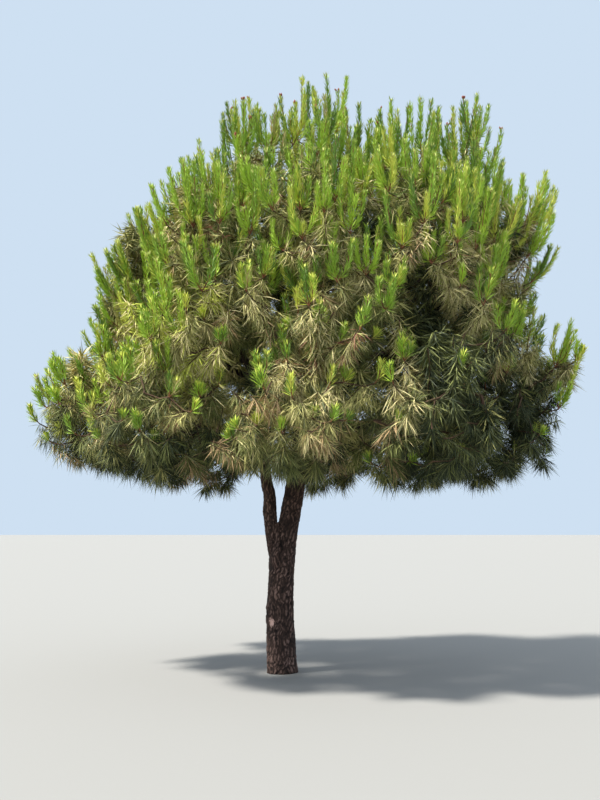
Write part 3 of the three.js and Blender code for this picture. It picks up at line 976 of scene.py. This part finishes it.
def old_mix(h, layer, shaded=0.0, x=0.0, bare=0.0, gap=False):
    """Which old colours a whorl wears, most of it in one, by how high and how deep it stands. The darker mixes by the
    gaps and in the shaded low right are painted shade; those deep inside, on undersides and low on the left are partly
    older needles and partly painted shade; the lighter mixes of straw and yellow on the sunlit left and middle right
    are painted light.
    """
    # By the gaps between the masses: darker mixes, painted shade.
    if layer >= 2 and gap:
        names, share = ["inner_dark", "inner_green", "old_green"], [0.50, 0.36, 0.14] if x > 0.7 else [0.20, 0.42, 0.38]
    # Deep inside, at the low right, high up and at the foot on the left: darker mixes, partly older needles and partly
    # painted shade.
    elif layer == 2 and ((x > 1.1 and h < 0.32) or (h > 0.5 and x > -0.9) or (h < 0.12 and x < -0.3)):
        names, share = ["inner_dark", "inner_green", "old_green", "old_olive"], [0.24, 0.44, 0.26, 0.06]
    # Deep inside on the sunlit left: a lighter mix with straw, painted light.
    elif layer == 2 and x < -0.5:
        names, share = ["old_green", "old_olive", "old_straw"], [0.20, 0.55, 0.25]
    elif layer == 2:
        names, share = ["inner_green", "old_green", "old_olive"], [0.16, 0.48, 0.36]
    # In the shade at the low right: mostly the darkest needles, painted shade.
    elif 1.35 * shaded > rng.random():
        names, share = ["inner_dark", "inner_green", "old_green", "old_olive"], [0.66, 0.19, 0.10, 0.05]
    # Undersides on the sunlit left: a lighter mix, painted light.
    elif layer == 1 and x < -0.6 and 0.16 < h < 0.5:
        names, share = ["inner_green", "old_green", "old_olive", "old_straw", "old_tan"], [0.10, 0.28, 0.40, 0.18, 0.04]
    # Other undersides: darker mixes, darkest low at the sides, partly older needles and partly painted shade.
    elif layer == 1 and (-0.3 < x < 1.1 or h > 0.25):
        names, share = ["inner_dark", "inner_green", "old_green", "old_olive", "old_tan"], [0.16, 0.24, 0.32, 0.22, 0.06]
    elif layer == 1:
        names, share = ["inner_dark", "inner_green", "old_green", "old_olive", "old_tan"], [0.48, 0.26, 0.17, 0.06, 0.03]
    elif layer == 3 and (h > 0.36 or x > 0.9):
        names, share = ["inner_green", "old_green", "old_olive", "old_straw", "old_tan"], [0.12, 0.32, 0.32, 0.18, 0.06]
    elif bare > 0.6 * rng.random() + 0.1:
        names, share = ["old_green", "old_olive", "old_straw", "old_tan", "dead_rust"], [0.22, 0.26, 0.20, 0.20, 0.12]
    # The sunlit middle right: much straw, painted light.
    elif 0.36 < h < 0.56 and x > 0.7:
        names, share = ["old_green", "old_olive", "old_straw", "old_tan", "dead_rust"], [0.05, 0.37, 0.48, 0.05, 0.05]
    elif h > 0.56:
        names, share = ["old_green", "new_deep", "old_olive", "old_straw", "old_tan"], [0.34, 0.20, 0.34, 0.09, 0.03]
    # At the foot on the left: a darker mix, partly older needles and partly painted shade.
    elif h < 0.20 and x < -0.3:
        names, share = ["old_green", "inner_green", "old_olive", "old_straw", "old_tan", "dead_rust"], [0.36, 0.26, 0.22, 0.06, 0.06, 0.04]
    # The sunlit middle left: yellow and straw among the old needles, painted light.
    elif h < 0.42 and x < -0.5:
        names, share = ["old_olive", "new_yellow", "new_tip", "old_straw", "old_tan", "dead_rust"], [0.24, 0.22, 0.10, 0.36, 0.04, 0.04]
    elif h > 0.3:
        names, share = ["old_green", "old_olive", "old_straw", "old_tan", "dead_rust"], [0.16, 0.44, 0.30, 0.06, 0.04]
    else:
        names, share = ["old_green", "old_olive", "old_straw", "old_tan", "dead_rust"], [0.10, 0.40, 0.40, 0.06, 0.04]
    pick = rng.choice(len(names), 3, p=share)
    a, b, c = (K[names[i]] for i in pick)
    if a in (K["dead_rust"], K["old_straw"]) and b != a:
        a, b = b, a
    # A few needles of other ages stand in every spray.
    others = [K[name] for name in (("inner_dark", "inner_green", "old_green") if names[0] == "inner_dark" else
                                   ("old_green", "old_straw", "old_olive", "new_yellow") if "new_yellow" in names else
                                   ("inner_green", "old_green", "old_straw", "old_olive"))]

    def kinds(s):
        """s is how far below the whorl each needle stands, 0 to 1: the lower ones are older."""
        r = rng.random(len(s)) + 0.25 * (s - 0.4)
        own = np.where(r < 0.44, a, np.where(r < 0.76, b, c))
        return np.where(rng.random(len(s)) < 0.30, rng.choice(others, len(s)), own)

    return kinds


def add_cone(mesh, place, axis, length, radius):
    """A small young cone on its stalk: an egg of a few rings whose scales stand out in turn."""
    sides = 6
    t = np.array([0.0, 0.40, 0.46, 0.60, 0.76, 0.90, 1.0])
    line = place + axis * (t * length)[:, None]
    shape = np.array([0.25, 0.25, 0.75, 1.0, 0.92, 0.62, 0.15])
    j = np.arange(sides)[None, :]
    bump = 1 + 0.18 * np.where((np.arange(7)[:, None] + j) % 2 == 0, 1, -0.6)
    tube(mesh, line, radius * shape[:, None] * bump, sides)


def grow_crown():
    whorls = place_whorls()
    twigs, boughs, stems, cones = Mesh(), Mesh(), Mesh(), Mesh()
    axes = grow_twigs(whorls, twigs, boughs)
    needles = Needles()
    shoots = 0
    for (place, normal, length, layer), axis in zip(whorls, axes):
        h = float(height_share(place[2]))
        axis = unit(axis + [0, 0, 0.35])
        level = normal * [1, 1, 0]
        out = float(np.linalg.norm(level))
        x, y, z = place
        sunny, shaded, bare = region(place)
        # Below the crown's shoulders only a few small tufts grow.
        low = float(smooth(2.95, 2.70, z))
        if layer == 2 and (h > 0.58 or (h > 0.40 and x < -1.0)):
            layer = 3
        if layer == 1 and x > 2.7 and z > 2.9:
            layer = 0
        if layer == 2:
            axis = unit(axis + rng.normal(0, 0.35, 3))
            fine = z < 3.4 and x > 0.9
            add_skirt(needles, place + axis * 0.08, axis, 142 if fine else 125, old_mix(h, 2, 0, x, 0, near_gap(place)), 78, 1.22,
                      0.35 if fine else 0.10, 0.0115 if fine else NEEDLE_WIDTH_INNER, 0.30)
            continue
        if layer == 3:
            axis = unit(axis + rng.normal(0, 0.25, 3))
            fall = float(smooth(3.8, 3.3, z))
            # Low at the right these sprays take the darkest mixes, as painted shade.
            add_skirt(needles, place + axis * 0.05, axis, 135,
                      old_mix(h, 3, 1.0 if x > 2.1 and z < 3.15 else shaded, x, 0, near_gap(place)),
                      80 + 10 * fall, 1.12, 0.20 + 0.40 * fall, 0.0105 - 0.0015 * fall, 0.28)
            continue
        if layer == 1:
            add_skirt(needles, place, axis, 215, old_mix(h, 1, shaded, x), 96, 1.20, 0.65, along_twig=0.20)
            number = int(rng.integers(0, 2))
        else:
            count = int(256 + (-45 if layer == 4 else -90) * smooth(0.35, 0.8, h))
            tassel = float(smooth(3.5, 2.8, z))
            spread = 92 - 14 * smooth(0.4, 0.8, h)
            hang = 0.52 - 0.28 * smooth(0.3, 0.7, h) + 0.38 * tassel
            free = right_tip(x, z)
            add_skirt(needles, place, axis, 230 if free else count, old_mix(h, 0, shaded, x, bare), spread, 1.0 if free else 1.08, hang,
                      along_twig=rng.uniform(0.19, 0.27) + 0.22 * h + 0.09 * tassel, stems=twigs)
            if layer == 4:
                number = int(rng.integers(3 if h > 0.74 or (x < -0.9 and z > 4.0) else 4, 6)) if h > 0.35 else int(rng.integers(2, 5))
                number += int(round(1.2 * sunny * smooth(4.2, 3.8, z) - 0.9 * sunny * smooth(3.7, 3.4, z)))
            else:
                number = int(rng.random() < 0.60) + int(rng.random() < 0.45) if h > 0.35 else int(rng.random() < 0.55)
                if x > 1.3 and 0.28 < h < 0.52:
                    number = int(rng.random() < 0.30)
                elif sunny > 0.4 and z < 3.7:
                    number = int(rng.random() < 0.50)
            if right_tip(x, z):
                number = int(rng.integers(4, 6))
            elif low > rng.random() or shaded > rng.random() + 0.10:
                number = int(rng.random() < (0.15 if shaded > 0.3 else 0.6)) + int(rng.random() < 0.3 * (1 - shaded))
            if x < -2.15 and 2.65 < z < 3.45:
                number = max(number, int(rng.integers(2, 4)))
        brush = float(smooth(0.44, 0.22, h))
        brush = float(np.clip(brush * (1 - 0.6 * sunny) + rng.normal(0, 0.1), 0, 1))
        greens = ["new_bright", "new_mid", "new_deep", "new_yellow", "old_olive"]
        # The tip at the right and the sunny places take more bright and yellow greens, as painted light.
        if right_tip(x, z):
            share = [0.50, 0.15, 0.0, 0.35, 0.0]
            brush *= 0.3
        elif h > 0.66:
            share = [0.26, 0.31, 0.20, 0.19, 0.04]
        elif sunny > 0.4 or h > 0.36:
            share = [0.40, 0.28, 0.10, 0.21, 0.01]
        elif h > 0.25:
            share = [0.30, 0.34, 0.17, 0.16, 0.03]
        else:
            share = [0.16, 0.34, 0.30, 0.13, 0.07]
        arch = float(arching(x, z)) * float(smooth(0.2, 0.7, abs(normal[0])))
        turn = rng.random() * 2 * math.pi
        for i in range(number):
            main, second = (K[greens[j]] for j in rng.choice(5, 2, p=share))
            if i == 0:
                first = unit(axis + rng.normal(0, 0.08, 3))
                size = length * (1.12 if layer == 4 else 0.75)
            else:
                a = turn + i * 2 * math.pi / max(number - 1, 1) + rng.normal(0, 0.3)
                flat = np.array([math.cos(a), math.sin(a), 0])
                first = unit(flat * rng.uniform(0.7, 1.5) * (1 - 0.4 * arch) + [0, 0, 1 - 0.35 * arch]
                             + level * (0.35 + 0.4 * sunny + 1.0 * arch))
                size = length * rng.uniform(0.72, 1.05) * (1 + 0.15 * arch)
            if right_tip(x, z):
                size *= 1.05
            elif h < 0.42:
                size *= 0.80 + 0.20 * smooth(0.24, 0.40, h) + 0.25 * sunny - 0.22 * low
            last = unit(np.array([0, 0, 1.0]) + level * (0.17 + 0.15 * brush + 0.22 * sunny + 0.16 * arch) + rng.normal(0, 0.05, 3))
            if layer == 1:
                size *= 0.8
            bend = 0.34 if i == 0 else 0.40
            for _ in range(6):
                tip = place + first * size * bend + last * (size * (1 - bend) + 0.03)
                if in_crown(tip, 0.97 if x < -0.6 and z > 4.2 else 1.10 if x > 2.2 and z > 4.8 else 1.03)[0]:
                    break
                size *= 0.88
            size = max(size, 0.09)
            tip = add_shoot(needles, stems, place, first, last, size, main, second, 258, brush, bend)
            shoots += 1
            if h > 0.68 and rng.random() < 0.15:
                for _ in range(int(rng.integers(1, 4))):
                    lean = unit(last + rng.normal(0, 0.30, 3))
                    add_cone(cones, tip - last * 0.004, lean, 0.058, 0.0095)
    print("shoots", shoots, "needles", sum(needles.count().values()), needles.count())
    return needles, twigs, boughs, stems, cones


# ---- Materials of the wood ------------------------------------------------------------------------------------------

def wood_material(name, dark, middle, light, scale, bump, browner=False):
    """Bark: dark in its fissures and lighter on its plates, mottled, with fine grain; with browner set, darker and
    browner above the fork, from 1.25 m to 1.95 m up.
    """
    m = bpy.data.materials.new(name)
    m.use_nodes = True
    nt = m.node_tree
    b = nt.nodes["Principled BSDF"]
    b.inputs["Roughness"].default_value = 0.9
    b.inputs["Specular IOR Level"].default_value = 0.25
    depth = nt.nodes.new("ShaderNodeAttribute")
    depth.attribute_name = "bark_depth"
    where = nt.nodes.new("ShaderNodeTexCoord")
    stretch = nt.nodes.new("ShaderNodeMapping")
    stretch.inputs["Scale"].default_value = (1, 1, 0.45)
    nt.links.new(where.outputs["Object"], stretch.inputs["Vector"])
    mottle = nt.nodes.new("ShaderNodeTexNoise")
    mottle.inputs["Scale"].default_value = 9 * scale
    mottle.inputs["Detail"].default_value = 5
    nt.links.new(stretch.outputs["Vector"], mottle.inputs["Vector"])
    grain = nt.nodes.new("ShaderNodeTexNoise")
    grain.inputs["Scale"].default_value = 70 * scale
    grain.inputs["Detail"].default_value = 6
    grain.inputs["Roughness"].default_value = 0.7
    nt.links.new(stretch.outputs["Vector"], grain.inputs["Vector"])
    share = nt.nodes.new("ShaderNodeMath")
    share.operation = "MULTIPLY"
    share.inputs[1].default_value = 0.62
    nt.links.new(depth.outputs["Fac"], share.inputs[0])
    shift = nt.nodes.new("ShaderNodeMath")
    shift.operation = "MULTIPLY_ADD"
    shift.inputs[1].default_value = 0.42
    nt.links.new(grain.outputs["Fac"], shift.inputs[0])
    nt.links.new(share.outputs[0], shift.inputs[2])
    ramp = nt.nodes.new("ShaderNodeValToRGB")
    e = ramp.color_ramp.elements
    e[0].position, e[0].color = 0.22, colour(*dark)
    e[1].position, e[1].color = 1.0, colour(*(min(255, 1.45 * c + 18) for c in light))
    mid = e.new(0.50)
    mid.color = colour(*middle)
    top = e.new(0.84)
    top.color = colour(*light)
    nt.links.new(shift.outputs[0], ramp.inputs["Fac"])
    tint = nt.nodes.new("ShaderNodeMix")
    tint.data_type = "RGBA"
    tint.blend_type = "MULTIPLY"
    tint.inputs["Factor"].default_value = 0.75
    spread = nt.nodes.new("ShaderNodeValToRGB")
    s = spread.color_ramp.elements
    s[0].position, s[0].color = 0.35, (0.62, 0.55, 0.50, 1)
    s[1].position, s[1].color = 0.68, (1.0, 0.97, 0.95, 1)
    nt.links.new(mottle.outputs["Fac"], spread.inputs["Fac"])
    nt.links.new(ramp.outputs["Color"], tint.inputs["A"])
    nt.links.new(spread.outputs["Color"], tint.inputs["B"])
    if browner:
        height = nt.nodes.new("ShaderNodeSeparateXYZ")
        nt.links.new(where.outputs["Object"], height.inputs["Vector"])
        upper_share = nt.nodes.new("ShaderNodeMapRange")
        upper_share.inputs["From Min"].default_value = 1.25
        upper_share.inputs["From Max"].default_value = 1.95
        nt.links.new(height.outputs["Z"], upper_share.inputs["Value"])
        brown = nt.nodes.new("ShaderNodeMix")
        brown.data_type = "RGBA"
        brown.blend_type = "MULTIPLY"
        brown.inputs["B"].default_value = (0.66, 0.60, 0.50, 1)
        nt.links.new(upper_share.outputs["Result"], brown.inputs["Factor"])
        nt.links.new(tint.outputs["Result"], brown.inputs["A"])
        nt.links.new(brown.outputs["Result"], b.inputs["Base Color"])
    else:
        nt.links.new(tint.outputs["Result"], b.inputs["Base Color"])
    rough = nt.nodes.new("ShaderNodeBump")
    rough.inputs["Strength"].default_value = bump
    rough.inputs["Distance"].default_value = 0.004
    nt.links.new(grain.outputs["Fac"], rough.inputs["Height"])
    nt.links.new(rough.outputs["Normal"], b.inputs["Normal"])
    return m


# ---- Making it --------------------------------------------------------------------------------------------------------

BARK = wood_material("bark", (13, 9, 8), (64, 50, 45), (130, 108, 101), 1.0, 0.6, browner=True)
BOUGH_BARK = wood_material("bough_bark", (18, 13, 11), (44, 34, 28), (74, 59, 50), 1.6, 0.5)
TWIG_BARK = wood_material("twig_bark", (30, 22, 18), (56, 43, 34), (86, 67, 53), 3.0, 0.4)
STEM_BARK = wood_material("new_stem_bark", (74, 44, 30), (104, 64, 44), (132, 88, 62), 4.0, 0.3)
CONE = wood_material("young_cone", (58, 22, 26), (96, 40, 42), (140, 76, 66), 6.0, 0.3)

masses = ["needles_" + m[0] for m in MASSES]
bough_nodes = sorted(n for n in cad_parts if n.startswith("bough_"))

needles, twigs, boughs, stems, cones = grow_crown()
pieces = []
for name, (mesh, nodes) in make_bark().items():
    o = mesh.build(name, BARK, True, depth=True)
    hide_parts(*nodes)
    pieces.append((o, mesh.triangles()))
o = boughs.build("bough_bark_pieces", BOUGH_BARK, True, depth=True)
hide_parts(*bough_nodes)
pieces.append((o, boughs.triangles()))
for name, mesh, material, kind in (
    ("twigs", twigs, TWIG_BARK, "bough_bark"),
    ("shoot_stems", stems, STEM_BARK, "bough_bark"),
    ("young_cones", cones, CONE, "bough_bark"),
):
    o = mesh.build(name, material, True, depth=True)
    pieces.append((o, mesh.triangles()))
made = needles.build()
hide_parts(*masses)
for o in made:
    pieces.append((o, len(o.data.polygons)))
for o, _ in pieces:
    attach(o, "root")
print("triangles", sum(n for _, n in pieces), {o.name: n for o, n in pieces})

# ---- Floor, light and camera --------------------------------------------------------------------------------------------

bpy.ops.mesh.primitive_plane_add(size=160, location=(0, 40, -0.001))
floor = bpy.context.object
floor.name = "floor"
fm = bpy.data.materials.new("floor")
fm.use_nodes = True
fb = fm.node_tree.nodes["Principled BSDF"]
fb.inputs["Base Color"].default_value = (0.22, 0.22, 0.212, 1)
fb.inputs["Roughness"].default_value = 0.95
floor.data.materials.append(fm)

sun = bpy.data.lights.new("key", "SUN")
sun.energy = 8.7
sun.angle = math.radians(6)
sun.color = (1.0, 0.955, 0.88)
key = bpy.data.objects.new("key", sun)
bpy.context.scene.collection.objects.link(key)
# From the upper left, a little in front.
towards = np.array([-0.49, -0.22, 0.85])
from mathutils import Vector

key.rotation_euler = Vector(towards).to_track_quat("Z", "Y").to_euler()

world = bpy.data.worlds.new("world")
bpy.context.scene.world = world
world.use_nodes = True
nt = world.node_tree
nt.nodes.clear()
seen = nt.nodes.new("ShaderNodeBackground")
seen.inputs["Color"].default_value = colour(206, 224, 242)
seen.inputs["Strength"].default_value = 1.0
fill = nt.nodes.new("ShaderNodeBackground")
fill.inputs["Color"].default_value = (0.78, 0.88, 1.0, 1)
fill.inputs["Strength"].default_value = 1.15
path = nt.nodes.new("ShaderNodeLightPath")
mix = nt.nodes.new("ShaderNodeMixShader")
out = nt.nodes.new("ShaderNodeOutputWorld")
nt.links.new(path.outputs["Is Camera Ray"], mix.inputs["Fac"])
nt.links.new(fill.outputs["Background"], mix.inputs[1])
nt.links.new(seen.outputs["Background"], mix.inputs[2])
nt.links.new(mix.outputs["Shader"], out.inputs["Surface"])

# Eye height, 8.7 m off, tilted up 8.8 degrees, 36.4 mm on a 36 mm long side.
cam = bpy.data.cameras.new("camera")
cam.sensor_width = 36
cam.lens = 809 / 800 * 36
cam.clip_end = 300
camera = bpy.data.objects.new("camera", cam)
camera.location = (0.186, -8.7, 1.5)
camera.rotation_euler = (math.radians(98.8), 0, 0)
bpy.context.scene.collection.objects.link(camera)
bpy.context.scene.camera = camera

bpy.context.scene.view_settings.view_transform = "Standard"
bpy.context.scene.view_settings.look = "None"
